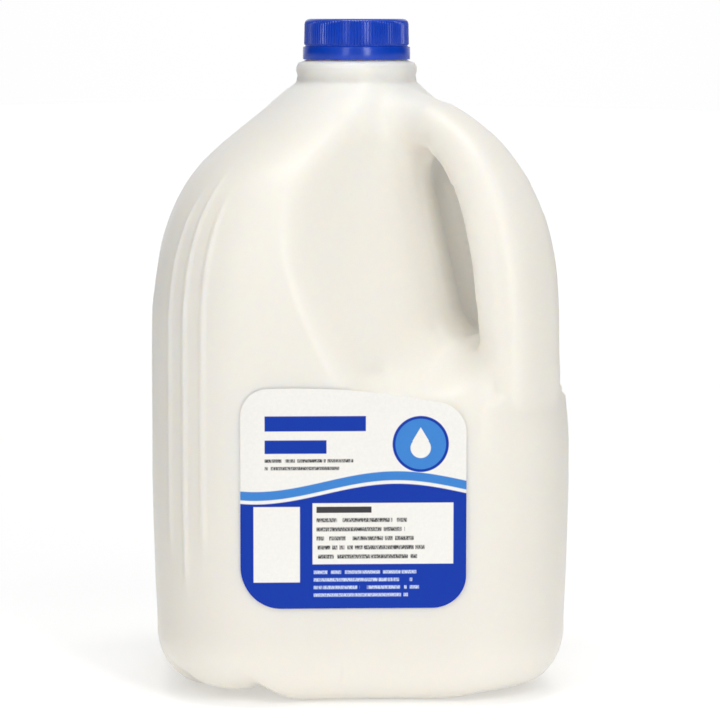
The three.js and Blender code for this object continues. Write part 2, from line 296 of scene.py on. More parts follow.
class Wire:
    """A value in a shader; arithmetic on it adds Math nodes."""

    def __init__(self, tree, socket):
        self.tree = tree
        self.socket = socket

    def node(self, kind, settings=(), sockets=(), out=0):
        """Adds a node with its settings and its inputs' values or links, and gives one output."""
        made = self.tree.nodes.new(kind)
        for name, value in dict(settings).items():
            setattr(made, name, value)
        for name, value in dict(sockets).items():
            if isinstance(value, Wire):
                self.tree.links.new(value.socket, made.inputs[name])
            else:
                made.inputs[name].default_value = value
        return Wire(self.tree, made.outputs[out])

    def math(self, operation, *values, clamp=False):
        return self.node("ShaderNodeMath", {"operation": operation, "use_clamp": clamp}, enumerate(values))

    def __add__(self, other):
        return self.math("ADD", self, other)

    def __sub__(self, other):
        return self.math("SUBTRACT", self, other)

    def __rsub__(self, other):
        return self.math("SUBTRACT", other, self)

    def __mul__(self, other):
        return self.math("MULTIPLY", self, other)

    def __truediv__(self, other):
        return self.math("DIVIDE", self, other)

    def __abs__(self):
        return self.math("ABSOLUTE", self)

    __radd__ = __add__
    __rmul__ = __mul__

    def rise(self, low, high):
        """0 below low, 1 above high, straight between."""
        return self.math("MULTIPLY_ADD", self, 1 / (high - low), -low / (high - low), clamp=True)

    def within(self, low, high, soft):
        """1 between low and high, with soft edges."""
        return self.rise(low - soft, low + soft) * (1 - self.rise(high - soft, high + soft))

    def greater(self, other):
        return self.math("MAXIMUM", self, other)

    def axis(self, index):
        """One of a vector's three parts."""
        return self.node("ShaderNodeSeparateXYZ", {}, {0: self}, out=index)

    def dot(self, direction):
        """A vector's reach in a direction."""
        sockets = {0: self, 1: direction}
        return self.node("ShaderNodeVectorMath", {"operation": "DOT_PRODUCT"}, sockets, out=1)

    def vector(self, *parts):
        return self.node("ShaderNodeCombineXYZ", {}, enumerate(parts))

    def colour_mix(self, first, second):
        """first where this is 0, second where it is 1."""
        sockets = {0: self, 6: first, 7: second}
        return self.node("ShaderNodeMix", {"data_type": "RGBA"}, sockets, out=2)

    def noise(self, scale, detail=2.0, roughness=0.5):
        """Soft noise over a vector."""
        sockets = {"Vector": self, "Scale": scale, "Detail": detail, "Roughness": roughness}
        return self.node("ShaderNodeTexNoise", {}, sockets)


def new_finish(name):
    """A material with its Principled shader, and a wire to start from."""
    material = bpy.data.materials.new(name)
    material.use_nodes = True
    shader = material.node_tree.nodes["Principled BSDF"]
    place = material.node_tree.nodes.new("ShaderNodeTexCoord").outputs["Object"]
    return material, shader, Wire(material.node_tree, place)


def feed(shader, wire, name):
    wire.tree.links.new(wire.socket, shader.inputs[name])


def multiplied(first, second):
    """The product of two colours."""
    kind = {"data_type": "RGBA", "blend_type": "MULTIPLY"}
    return first.node("ShaderNodeMix", kind, {0: 1.0, 6: first, 7: second}, out=2)


def rgba(colour):
    return (*colour, 1.0)


# The jug's form.

def knot_slopes(xs, ys):
    """Slopes at the knots of a curve that doesn't overshoot."""
    steps = np.diff(ys) / np.diff(xs)
    before, after = steps[:-1], steps[1:]
    same = before * after > 0
    slopes = np.zeros(len(xs))
    slopes[1:-1][same] = 2 * before[same] * after[same] / (before[same] + after[same])
    return slopes


def along(knots, x):
    """A smooth curve through the knots, read at x."""
    xs, ys = np.array(knots, float)[:, :2].T
    slopes = knot_slopes(xs, ys)
    x = np.clip(x, xs[0], xs[-1])
    i = np.clip(np.searchsorted(xs, x, side="right") - 1, 0, len(xs) - 2)
    span, rise = xs[i + 1] - xs[i], ys[i + 1] - ys[i]
    t = (x - xs[i]) / span
    bend_in, bend_out = span * slopes[i] - rise, rise - span * slopes[i + 1]
    return ys[i] + t * rise + t * (1 - t) * (bend_in * (1 - t) + bend_out * t)


def ease(x, low, high):
    t = np.clip((x - low) / (high - low), 0, 1)
    return t * t * (3 - 2 * t)


def soft_lesser(a, b, edge):
    near = np.maximum(edge - np.abs(a - b), 0)
    return np.minimum(a, b) - near * near / (4 * edge)


def from_corner(angle):
    return angle - 90 * np.round(angle / 90)


def on_handle_corner(angle):
    return np.cos(np.radians(angle)) > HANDLE_QUARTER


def rounded_square(angle, half, flat):
    turn = np.radians(from_corner(angle + 45))
    c, s = np.cos(turn), np.abs(np.sin(turn))
    reach, radius = flat * (c + s), half - flat
    corner = reach + np.sqrt(np.maximum(reach * reach - 2 * flat * flat + radius * radius, 0))
    return np.where(half * s <= flat * c, half / c, corner)


def pocket_radius(angle, z):
    x = np.cos(np.radians(angle)) * math.sqrt(0.5)
    y = np.abs(np.sin(np.radians(angle))) * math.sqrt(0.5)
    near = x + y + POCKET_TURN * (x - y)
    far = x - y + POCKET_TURN * (x + y)
    reach = POCKET_REACH - POCKET_LEAN * (z - POCKET_LEVEL)
    walls = (reach / np.maximum(side, POCKET_GRAZED) for side in (near, far))
    wall = soft_lesser(*walls, POCKET_NOSE)
    return np.where(near < POCKET_MISSED, FAR_OFF, np.maximum(wall, POCKET_CORE))


def rib_height(angle, z, height):
    turn = from_corner(angle)
    ribs = np.zeros_like(z)
    for at, low, high in RIBS:
        share = np.clip(1 - np.abs(turn - at) / RIB_HALF_TURN, 0, 1)
        ends = ease(z, low - RIB_END, low + RIB_END) * (1 - ease(z, high - RIB_END, high + RIB_END))
        ribs += height * ease(share, 0, 1) * ends
    return np.where(on_handle_corner(angle), 0, ribs)


def groove_depth(angle, z):
    """Short grooves in the front and back sides, just above the foot's rounding."""
    across = GROOVED_SIDE * np.tan(np.radians(from_corner(angle + 45)))
    depth = np.zeros_like(z)
    for place in GROOVES:
        share = np.clip(1 - np.abs(across - place) / GROOVE_HALF_WIDTH, 0, 1)
        depth += GROOVE_DEPTH * ease(share, 0, 1)
    on_face = np.abs(np.cos(np.radians(angle + 45))) > GROOVED_FACING
    return np.where(on_face, depth, 0) * (1 - ease(z, GROOVE_TOP - GROOVE_END, GROOVE_TOP + GROOVE_END))


def side_radius(angle, z, rib):
    plain = rounded_square(angle, along(HALF_WIDTH, z), along(FLAT_RUN, z))
    cut = soft_lesser(plain, pocket_radius(angle, z), POCKET_EDGE)
    lift = LEDGE_LIFT * (1 - ease(np.abs(angle), *LEDGE_LIFT_FADE))
    early = LEDGE_EARLY * ease(z, LEDGE_START, LEDGE_EARLY_END)
    share = early + (1 - early) * ease(z - lift, LEDGE_LOW, LEDGE_HIGH)
    return plain + (cut - plain) * share + rib_height(angle, z, rib)


def foot_lift(angle):
    turn = np.abs(from_corner(angle))
    bump = np.exp(-(((turn - NOTCH_ANGLE) / NOTCH_SPREAD) ** 2))
    notch = NOTCH_LIFT * bump * (1 - ease(turn, *NOTCH_FADE))
    corner = CORNER_LIFT * (1 - ease(turn, *CORNER_FADE)) + notch
    grip_corner = GRIP_CORNER_LIFT * (1 - ease(turn, *GRIP_CORNER_FADE))
    return np.where(on_handle_corner(angle), grip_corner, corner)


def valley_depth(angle, z):
    rise = np.clip(z / FOOT_TOP, 0, 1)
    turn = np.abs(from_corner(angle)) - NOTCH_ANGLE * (1 - rise)
    depth = VALLEY_DEPTH * (1 - rise) * np.exp(-((turn / VALLEY_SPREAD) ** 2))
    return np.where(on_handle_corner(angle), 0, depth)


def jug_radius(angle, z, rib):
    """Radius of the moulded body at an angle and a height."""
    side = side_radius(angle, np.maximum(z, FOOT_TOP), rib)
    lift = foot_lift(angle)
    drop = np.clip((FOOT_TOP - z) / (FOOT_TOP - lift), 0, 1)
    foot = FOOT_RADIUS * (1 - np.sqrt(1 - drop * drop))
    return side - foot - np.where(z < FOOT_TOP, valley_depth(angle, z), 0) - groove_depth(angle, z)


def bottom_height(angle, radius):
    lift = foot_lift(angle)
    edge = side_radius(angle, np.full_like(angle, FOOT_TOP), 0.0) - FOOT_RADIUS
    return lift + (PUSH_UP - lift) * (1 - ease(radius / edge, PUSH_UP_CROWN, LAND_START))


def body_field(points, rib):
    """Below 0 inside the body, without the handle."""
    x, y, z = points.T
    angle, radius = np.degrees(np.arctan2(y, x)), np.hypot(x, y)
    return radius - jug_radius(angle, z, rib)


def bottom_field(points):
    x, y, z = points.T
    return bottom_height(np.degrees(np.arctan2(y, x)), np.hypot(x, y)) - z


def handle_path():
    """Points down the middle of the grip with their directions and half sizes."""
    rows = np.array(HANDLE, float)
    stations = np.arange(len(rows), dtype=float)
    s = np.linspace(0, len(rows) - 1, HANDLE_SAMPLES)
    i = np.clip(s.astype(int), 0, len(rows) - 2)
    t = (s - i)[:, None]
    slope = np.gradient(rows[:, :2], axis=0)
    start, end = rows[i, :2], rows[i + 1, :2]
    first = (2 * t**3 - 3 * t**2 + 1) * start + (t**3 - 2 * t**2 + t) * slope[i]
    place = first + (3 * t**2 - 2 * t**3) * end + (t**3 - t**2) * slope[i + 1]
    direction = np.gradient(place, axis=0)
    direction /= np.linalg.norm(direction, axis=1)[:, None]
    sizes = [along(np.column_stack([stations, rows[:, k]]), s) for k in (2, 3)]
    return place, direction, sizes[0], sizes[1]


def handle_field(points, path):
    """Below 0 inside the grip."""
    place, direction, thick, wide = path
    flat = points[:, [0, 2]]
    i = np.argmin(((flat[:, None, :] - place[None]) ** 2).sum(2), axis=1)
    away = flat - place[i]
    beyond = np.abs((away * direction[i]).sum(1))
    out = away[:, 1] * direction[i, 0] - away[:, 0] * direction[i, 1]
    side = np.abs(points[:, 1])
    cut = np.maximum(side + out, 0) / (thick[i] + GRIP_FACE * wide[i])
    powers = sum(share**GRIP_POWER for share in (np.abs(out) / thick[i], side / wide[i], cut))
    section = (powers ** (1 / GRIP_POWER) - 1) * thick[i]
    at_end = (i == 0) | (i == len(place) - 1)
    return np.where(at_end, np.maximum(section, beyond - HANDLE_END), section)


def closed_spline(corners, runs):
    """A smooth closed ring through the corners."""
    ring = np.array(corners, float)
    t = np.linspace(0, 1, runs, endpoint=False)[None, :, None]
    before, after, last = np.roll(ring, 1, 0), np.roll(ring, -1, 0), np.roll(ring, -2, 0)
    a, b, c, d = (k[:, None, :] for k in (before, ring, after, last))
    bend = 2 * a - 5 * b + 4 * c - d
    twist = 3 * b - a - 3 * c + d
    return (0.5 * (2 * b + (c - a) * t + bend * t**2 + twist * t**3)).reshape(-1, 2)


def ring_distance(flat, ring):
    """Distance from a closed ring, below 0 inside it."""
    start, end = ring, np.roll(ring, -1, 0)
    run = end - start
    away = flat[:, None, :] - start[None]
    t = np.clip((away * run).sum(2) / (run * run).sum(1), 0, 1)
    near = np.linalg.norm(away - t[:, :, None] * run, axis=2).min(1)
    x, z = flat[:, :1], flat[:, 1:]
    spans = (start[:, 1] > z) != (end[:, 1] > z)
    rise = np.where(run[:, 1] == 0, 1e-9, run[:, 1])
    crossings = (spans & (x < start[:, 0] + run[:, 0] * (z - start[:, 1]) / rise)).sum(1)
    return np.where(crossings % 2 == 1, -near, near)


def web_field(points, hole, edge):
    """Below 0 inside the thin web round the finger hole."""
    flat = points[:, [0, 2]]
    foot = WEB_FOOT * ease(points[:, 2], WEB_FOOT_TOP, WEB_FOOT_FULL)
    u = np.abs(points[:, 1]) - (WEB_HALF + foot - WEB_ROUNDING)
    v = WEB_ROUNDING - ring_distance(flat, hole)
    plate = np.hypot(np.maximum(u, 0), np.maximum(v, 0)) + np.minimum(np.maximum(u, v), 0) - WEB_ROUNDING
    return np.maximum(plate, ring_distance(flat, edge))


def with_slope(field, points, step=0.15):
    """A field as a distance, with its unit slope."""
    value = field(points)
    slope = np.stack([field(points + step * np.eye(3)[k]) - value for k in range(3)], axis=1) / step
    size = np.maximum(np.linalg.norm(slope, axis=1), LEAST_SLOPE)
    return value / size, slope / size[:, None]


def joined(first, second, reach):
    """Union of two fields, filled in where they meet in a hollow corner."""
    (a, slope_a), (b, slope_b) = first, second
    turn = 1 - (slope_a * slope_b).sum(1)
    k = np.maximum(reach * ease(turn, *FILLET_TURN), LEAST_FILLET)
    near = np.maximum(k - np.abs(a - b), 0)
    share = np.clip(0.5 + 0.5 * (b - a) / k, 0, 1)[:, None]
    return np.minimum(a, b) - near * near / (4 * k), share * slope_a + (1 - share) * slope_b


def fillet_share(points):
    """Share of the handle's fillet that is left at a place."""
    x, _, z = points.T
    low_outside = (1 - ease(z, *FILLET_OUTSIDE_HEIGHTS)) * ease(x, *FILLET_OUTSIDE)
    ends = ease(z, *FILLET_LOW) * (1 - FILLET_HIGH_LOSS * ease(z, *FILLET_HIGH))
    return (1 - FILLET_OUTSIDE_LOSS * low_outside) * ends


def jug_field(points, sizes, path, hole, edge):
    """The whole moulding as a distance and its slope."""
    rib = sizes.rib_height / MM
    value, slope = with_slope(lambda p: body_field(p, rib), points)
    low, low_slope = with_slope(bottom_field, points)
    under = low > value
    value, slope = np.where(under, low, value), np.where(under[:, None], low_slope, slope)
    x, y, z = points.T
    bottom, top = HANDLE_HEIGHTS
    grip = (x > HANDLE_BACK) & (np.abs(y) < HANDLE_ASIDE) & (z > bottom) & (z < top)
    near = points[grip]
    handle = with_slope(lambda p: handle_field(p, path), near)
    web = with_slope(lambda p: web_field(p, hole, edge), near)
    reach = sizes.handle_fillet / MM * fillet_share(near)
    blended = joined((value[grip], slope[grip]), handle, reach)
    value[grip], slope[grip] = joined(blended, web, sizes.web_fillet / MM)
    return value, slope


def settle(obj, sizes, rounds):
    """Moves the skin's points onto the jug's smooth form."""
    mesh = obj.data
    flat = np.empty(len(mesh.vertices) * 3)
    mesh.vertices.foreach_get("co", flat)
    points = flat.reshape(-1, 3) / MM
    path, hole = handle_path(), closed_spline(FINGER_HOLE, HOLE_RUNS)
    edge = np.array(WEB_EDGE, float)
    free = (1 - ease(points[:, 2], *NECK_KEPT))[:, None]
    for _ in range(rounds):
        value, slope = jug_field(points, sizes, path, hole, edge)
        size = np.maximum((slope * slope).sum(1), LEAST_SLOPE_SQUARED)
        step = np.clip(value / size, -LONGEST_STEP, LONGEST_STEP)
        points = points - free * step[:, None] * slope
    mesh.vertices.foreach_set("co", (points * MM).ravel())
    mesh.update()


# Modelling helpers.

def deselect_all():
    if bpy.context.object and bpy.context.object.mode != "OBJECT":
        bpy.ops.object.mode_set(mode="OBJECT")
    bpy.ops.object.select_all(action="DESELECT")


def make_active(obj):
    deselect_all()
    obj.select_set(True)
    bpy.context.view_layer.objects.active = obj


def apply_modifier(obj, kind, **settings):
    """Adds a modifier with its settings and applies it."""
    make_active(obj)
    modifier = obj.modifiers.new(kind.title(), kind)
    for name, value in settings.items():
        setattr(modifier, name, value)
    bpy.ops.object.modifier_apply(modifier=modifier.name)


def merged_copy(node, name):
    """A copy of a CAD node's mesh with its loose triangles merged."""
    obj = bpy.data.objects.new(name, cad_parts[node].data.copy())
    bpy.context.scene.collection.objects.link(obj)
    make_active(obj)
    bpy.ops.object.mode_set(mode="EDIT")
    bpy.ops.mesh.select_all(action="SELECT")
    bpy.ops.mesh.remove_doubles(threshold=1e-6)
    bpy.ops.object.mode_set(mode="OBJECT")
    return obj


def shape_faces(obj, chosen, operator, **settings):
    """Runs an edit mode operator on faces chosen by a test of their centres, in millimetres."""
    mesh = obj.data
    centres = np.empty(len(mesh.polygons) * 3)
    mesh.polygons.foreach_get("center", centres)
    picked = chosen(centres.reshape(-1, 3) / MM)
    make_active(obj)
    bpy.ops.object.mode_set(mode="EDIT")
    bpy.ops.mesh.select_mode(type="FACE")
    bpy.ops.mesh.select_all(action="DESELECT")
    bpy.ops.object.mode_set(mode="OBJECT")
    mesh.polygons.foreach_set("select", picked)
    bpy.ops.object.mode_set(mode="EDIT")
    operator(**settings)
    bpy.ops.object.mode_set(mode="OBJECT")


def finish_piece(obj, node, material, sharp=180):
    """Smooth shading, finish and frame links of a piece that stands for a CAD node."""
    make_active(obj)
    bpy.ops.object.shade_smooth_by_angle(angle=math.radians(sharp))
    obj.data.materials.clear()
    obj.data.materials.append(material)
    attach(obj, "root")
    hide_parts(node)


# Jug.

def on_ribs(centres):
    x, y, z = centres.T
    angle = np.degrees(np.arctan2(y, x))
    low, high = RIBBED_HEIGHTS
    ribbed = (np.abs(from_corner(angle)) < RIBBED_TURN) & ~on_handle_corner(angle)
    return ribbed & (z > low) & (z < high)


def round_hole(reach, depth):
    """A test for faces within a reach of the finger hole's edge."""
    def test(centres):
        found = (np.abs(centres[:, 1]) < depth) & (centres[:, 0] > HOLE_BACK)
        ring = closed_spline(FINGER_HOLE, HOLE_RUNS_COARSE)
        found[found] = np.abs(ring_distance(centres[found][:, [0, 2]], ring)) < reach
        return found
    return test


def in_box(box):
    """A test for faces in a box and in its mirror image across the handle's plane."""
    def test(centres):
        x, y, z = centres.T
        places = zip((x, np.abs(y), z), box)
        return np.logical_and.reduce([(low <= place) & (place < high) for place, (low, high) in places])
    return test


# Where the skin's mesh is finer, with the number of cuts.
FINE_ZONES = ((on_ribs, 1), (round_hole(*HOLE_RIM), 2))
# Where the settled skin is softened, with the number of passes.
SOFT_ZONES = (
    (in_box(GRIP_ROOT), 80),
    (in_box(GRIP_EDGE), 7),
    (in_box(GRIP_FOOT), 8),
    (in_box(NECK_FOOT), 30),
    (in_box(HANDLE_CROTCH), 50),
    (round_hole(*HOLE_LIP), 25),
)
# Run from the milk's level over which the plastic turns greyer, in metres.
HEADSPACE_RUN = (-0.001, 0.012)
# Heights between which the painted shade on the lower jug fades out, so the filled jug turns lighter
# upwards, in metres.
PAINTED_SHADE_HEIGHTS = (0.015, 0.12)
# Colour that paints shade onto the lower jug.
PAINTED_LOW_SHADE = (0.93, 0.925, 0.92)
CLOUD_SHADE = (0.985, 0.98, 0.965)


def jug_finish(sizes):
    """Translucent satin plastic with milk behind it, with painted shade that darkens it towards the bottom.
    """
    material, shader, place = new_finish("milk_jug_plastic")
    height = place.axis(2)
    start, end = (sizes.milk_level + run for run in HEADSPACE_RUN)
    filled = 1 - height.rise(start, end)
    cloud = place.noise(14.0, detail=3.0)
    base = filled.colour_mix(rgba(sizes.headspace), rgba(sizes.plastic))
    shade = cloud.rise(0.3, 0.75).colour_mix(rgba(CLOUD_SHADE), WHITE)
    # Painted shade: the colour is darkened low on the jug and fades to the plastic's own colour with height.
    depth = height.rise(*PAINTED_SHADE_HEIGHTS).colour_mix(rgba(PAINTED_LOW_SHADE), WHITE)
    feed(shader, multiplied(multiplied(base, shade), depth), "Base Color")
    skin = place.noise(420.0, roughness=0.6)
    feed(shader, skin * 0.08 + 0.32, "Roughness")
    bump = {"Strength": 0.05, "Distance": 0.0004, "Height": skin + cloud * 2}
    feed(shader, place.node("ShaderNodeBump", {}, bump), "Normal")
    shader.inputs["Subsurface Weight"].default_value = 0.85
    shader.inputs["Subsurface Radius"].default_value = (1.0, 0.85, 0.6)
    shader.inputs["Subsurface Scale"].default_value = 0.006
    shader.inputs["Specular IOR Level"].default_value = 0.4
    return material


class MILK_JUG_OT_jug(bpy.types.Operator):
    """Moulds the jug with its handle, ribs, neck and foot as one soft-edged skin"""

    bl_idname = "milk_jug.jug"
    bl_label = "Mould Jug"

    def execute(self, context):
        sizes = context.scene.milk_jug.jug
        obj = merged_copy("jug", "jug_moulding")
        apply_modifier(obj, "REMESH", mode="VOXEL", voxel_size=sizes.voxel)
        settle(obj, sizes, rounds=6)
        apply_modifier(obj, "SMOOTH", factor=0.5, iterations=2)
        settle(obj, sizes, rounds=2)
        for zone, cuts in FINE_ZONES:
            shape_faces(obj, zone, bpy.ops.mesh.subdivide, number_cuts=cuts)
        settle(obj, sizes, rounds=4)
        for zone, passes in SOFT_ZONES:
            shape_faces(obj, zone, bpy.ops.mesh.vertices_smooth, factor=0.5, repeat=passes)
        finish_piece(obj, "jug", jug_finish(sizes))
        return {"FINISHED"}


# Cap.

# Profile of the cap from the inside of its roof, down, round the tear band and up to the top,
# as (radius, height above the cap's bottom) in millimetres.
CAP_PROFILE = (
    (17.35, 13.4), (17.35, 0.15), (17.6, 0), (19.6, 0), (19.85, 0.12), (19.95, 0.4), (19.98, 2.5),
    (19.95, 4.5), (19.8, 4.75), (19.3, 4.9), (19.05, 5.1), (19.1, 5.35), (19.45, 5.6), (19.5, 5.9),
    (19.42, 9.5), (19.35, 13.1), (19.2, 13.7), (18.95, 14.3), (18.5, 14.75), (17.9, 15.02), (17.0, 15.1),
    (10, 15.1),
)
# Radius in metres of the small circle that closes the profile at the axis.
CAP_CENTRE = 1e-5
SKIRT_RADIUS = 19.4
SKIRT_INSIDE = 18.8
RIDGED_FROM = 5.55
RIDGED_TO = 13.8
SIDES_PER_RIDGE = 4
CAP_SHARP = 35


def turn_profile(profile, bottom, sides):
    """Turns a profile round the axis, starting and ending at its middle, and closes both ends."""
    now, level = CAP_CENTRE, bottom + profile[0][1] * MM
    bpy.ops.mesh.primitive_circle_add(vertices=sides, radius=now, location=(0, 0, level))
    bpy.ops.object.transform_apply(location=True)
    bpy.ops.object.mode_set(mode="EDIT")
    bpy.ops.mesh.select_mode(type="VERT")
    bpy.ops.mesh.select_all(action="SELECT")
    rings = [(radius * MM, height * MM) for radius, height in profile]
    for radius, height in [*rings, (CAP_CENTRE, rings[-1][1])]:
        rise = bottom + height - level
        bpy.ops.mesh.extrude_region_move(TRANSFORM_OT_translate={"value": (0, 0, rise)})
        share = radius / now
        bpy.ops.transform.resize(value=(share, share, 1), center_override=(0, 0, 0))
        now, level = radius, level + rise
    bpy.ops.mesh.select_all(action="SELECT")
    bpy.ops.mesh.remove_doubles(threshold=3 * CAP_CENTRE)
    bpy.ops.mesh.normals_make_consistent(inside=False)
    bpy.ops.object.mode_set(mode="OBJECT")
    return bpy.context.object


def cut_ridges(obj, bottom, sizes):
    """Draws every second pair of the skirt's points in, which leaves the grip ridges."""
    sides = SIDES_PER_RIDGE * sizes.ridges
    picked = []
    for vertex in obj.data.vertices:
        x, y, z = vertex.co
        step = round(math.atan2(y, x) / (2 * math.pi) * sides) % SIDES_PER_RIDGE
        outside = math.hypot(x, y) > SKIRT_INSIDE * MM
        ridged = RIDGED_FROM < (z - bottom) / MM < RIDGED_TO
        picked.append(outside and ridged and step >= SIDES_PER_RIDGE // 2)
    make_active(obj)
    bpy.ops.object.mode_set(mode="EDIT")
    bpy.ops.mesh.select_mode(type="VERT")
    bpy.ops.mesh.select_all(action="DESELECT")
    bpy.ops.object.mode_set(mode="OBJECT")
    obj.data.vertices.foreach_set("select", picked)
    bpy.ops.object.mode_set(mode="EDIT")
    share = 1 - sizes.ridge_depth / (SKIRT_RADIUS * MM)
    bpy.ops.transform.resize(value=(share, share, 1), center_override=(0, 0, 0))
    bpy.ops.object.mode_set(mode="OBJECT")


def cap_finish(sizes):
    """Deep blue moulded plastic with a soft sheen."""
    material, shader, place = new_finish("blue_cap_plastic")
    cloud = place.noise(160.0, detail=3.0)
    deep = tuple(0.86 * c for c in sizes.plastic)
    feed(shader, cloud.rise(0.35, 0.7).colour_mix(rgba(deep), rgba(sizes.plastic)), "Base Color")
    grain = place.noise(1500.0, roughness=0.6)
    feed(shader, grain * 0.1 + 0.14, "Roughness")
    bump = {"Strength": 0.06, "Distance": 0.0002, "Height": grain}
    feed(shader, place.node("ShaderNodeBump", {}, bump), "Normal")
    shader.inputs["Specular IOR Level"].default_value = 0.55
    return material


class MILK_JUG_OT_cap(bpy.types.Operator):
    """Turns the screw cap with its ridged skirt and its tear band"""

    bl_idname = "milk_jug.cap"
    bl_label = "Turn Cap"

    def execute(self, context):
        sizes = context.scene.milk_jug.cap
        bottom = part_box("cap")[0].z
        deselect_all()
        obj = turn_profile(CAP_PROFILE, bottom, SIDES_PER_RIDGE * sizes.ridges)
        obj.name = "screw_cap"
        cut_ridges(obj, bottom, sizes)
        finish_piece(obj, "cap", cap_finish(sizes), CAP_SHARP)
        return {"FINISHED"}


# Label.

# Outline of the label across and up the front side, in millimetres.
LABEL_LEFT = -44.6
LABEL_RIGHT = 35.8
LABEL_LOW = 36.5
LABEL_HIGH = 112
LABEL_PEAK = -25
LABEL_RISE = 3.5
LABEL_ARC = 0.0019
# Corner radii as (bottom, top) of the left and of the right side.
LABEL_CORNERS = ((14.5, 9), (12, 9))
LABEL_GAP = 0.1
LABEL_FILM = 0.22
LABEL_CELLS = 72
LABEL_SHARP = 30

# The print, across and up the front side in millimetres. Areas are (left, right, low, high).
PRINT_EDGE = 0.25
WAVE_HEIGHT = 3.6
WAVE_TURN = 0.062
WAVE_START = 0.9
FIELD_TOP = (77.6, 77.9)
STRIPE = (79.0, 82.2, 0.15)
HEADING = (-36, 0, 100.2, 105.6)
SECOND_HEADING = (-36, -14, 92.2, 97)
PANEL = (-19, 31.2, 52.5, 74.5)
PANEL_HEADING = (-17.6, 2, 71, 73.2)
SIDE_PANEL = (-40, -23.5, 46, 73.2)
# Fine print, as (area, number of rows, seed).
LEAD_ROWS = ((-36, 4, 85.6, 91), 2, 3.0)
PANEL_ROWS = ((-17.6, 30, 53.6, 70), 5, 11.0)
FOOT_ROWS = ((-18.6, 30, 40, 51), 4, 23.0)
PALE_PRINT = (0.62, 0.7, 0.9)
# A row of fine print: the inked share of its height with its soft edge, the steps of its words and strokes,
# the share of ink between the strokes, and the shifts that make the rows differ.
ROW_BAR = (0.28, 0.72, 0.06)
WORD_STEP = 0.42
WORD_GAPS = (0.36, 0.4)
WORD_SHIFT = 7.31
STROKE_STEPS = (2.6, 1.1)
STROKE_GAPS = (0.3, 0.62)
STROKE_SHIFT = 3.7
STROKE_REST = 0.4
END_SHIFT = 5.17
END_REACH = 0.5
END_EDGE = (0.1, 0.3)
# The disc with the drop. The drop's places are from the disc's centre.
DISC_ACROSS = 19.5
DISC_UP = 95.5
DISC_RIM = 9.9
DISC_FIELD = 8.9
BULB_RADIUS = 3.5
BULB_DOWN = 1.4
TIP_REACH = 4.2
TIP_SHOULDER = 1.2
TIP_FLANK = 1.5
TIP_TAPER = 0.9
TIP_START = (-0.2, 0.1)


def corner_inset(level, bottom, top):
    """How far a side of the label draws in towards its bottom and top corners."""
    under = np.clip(bottom - (level - LABEL_LOW), 0, bottom)
    over = np.clip(top - (LABEL_HIGH - level), 0, top)
    return bottom - np.sqrt(bottom**2 - under**2) + top - np.sqrt(top**2 - over**2)


def front_depth(across, z):
    """Depth of the front side at a place on it."""
    flat, half = along(FLAT_RUN, z), along(HALF_WIDTH, z)
    past = np.maximum(np.abs(across) - flat, 0)
    return flat + np.sqrt((half - flat) ** 2 - past**2)


def lay_label(obj):
    """Brings a flat unit grid to the label's outline on the jug's front side."""
    flat = np.empty(len(obj.data.vertices) * 3)
    obj.data.vertices.foreach_get("co", flat)
    column, row, _ = (flat.reshape(-1, 3) + 0.5).T
    share = 0.5 - 0.5 * np.cos(np.pi * np.clip(row, 0, 1))
    level = LABEL_LOW + (LABEL_HIGH - LABEL_LOW) * share
    left = LABEL_LEFT + corner_inset(level, *LABEL_CORNERS[0])
    right = LABEL_RIGHT - corner_inset(level, *LABEL_CORNERS[1])
    across = left + (right - left) * np.clip(column, 0, 1)
    z = level + share * (LABEL_RISE - LABEL_ARC * (across - LABEL_PEAK) ** 2)
    depth = front_depth(across, z) + LABEL_GAP
    places = np.stack([(across + depth) * math.sqrt(0.5), (across - depth) * math.sqrt(0.5), z], axis=1)
    obj.data.vertices.foreach_set("co", (places * MM).ravel())
    obj.data.update()


def print_box(across, up, left, right, low, high, soft=0.12):
    return across.within(left, right, soft) * up.within(low, high, soft)


def print_rows(across, up, area, rows, seed):
    """Rows of fine print as plain broken bars, with ragged right ends."""
    left, right, low, high = area
    pitch = (high - low) / rows
    level = (up - low) / pitch
    row = level.math("FLOOR", level)
    bar = level.math("FRACT", level).within(*ROW_BAR)
    spot = up.vector(across * WORD_STEP, row * WORD_SHIFT + seed, 0.0)
    words = spot.noise(1.0, detail=1.0).rise(*WORD_GAPS)
    fine = up.vector(across * STROKE_STEPS[0], up * STROKE_STEPS[1], row * STROKE_SHIFT + seed)
    strokes = fine.noise(1.0, detail=1.0).rise(*STROKE_GAPS) * (1 - STROKE_REST) + STROKE_REST
    end = up.vector(row * END_SHIFT + seed, 0.5, 0.5).noise(1.0, detail=0.0) * (END_REACH * (right - left))
    inside = 1 - (across + end).rise(*(right + edge for edge in END_EDGE))
    return bar * words * strokes * inside * print_box(across, up, *area)


def print_disc(spread, radius):
    return 1 - spread.rise(radius, radius + PRINT_EDGE)


def distance(across, up):
    return across.math("SQRT", across * across + up * up)


def print_drop(across, up):
    """A drop: a round bulb under a pointed tip."""
    bulb = print_disc(distance(across, up + BULB_DOWN), BULB_RADIUS)
    taper = (up - TIP_SHOULDER).greater(0.0) * TIP_TAPER
    tip = print_disc(abs(across) * TIP_FLANK + taper, TIP_REACH) * up.rise(*TIP_START)
    return bulb.greater(tip)


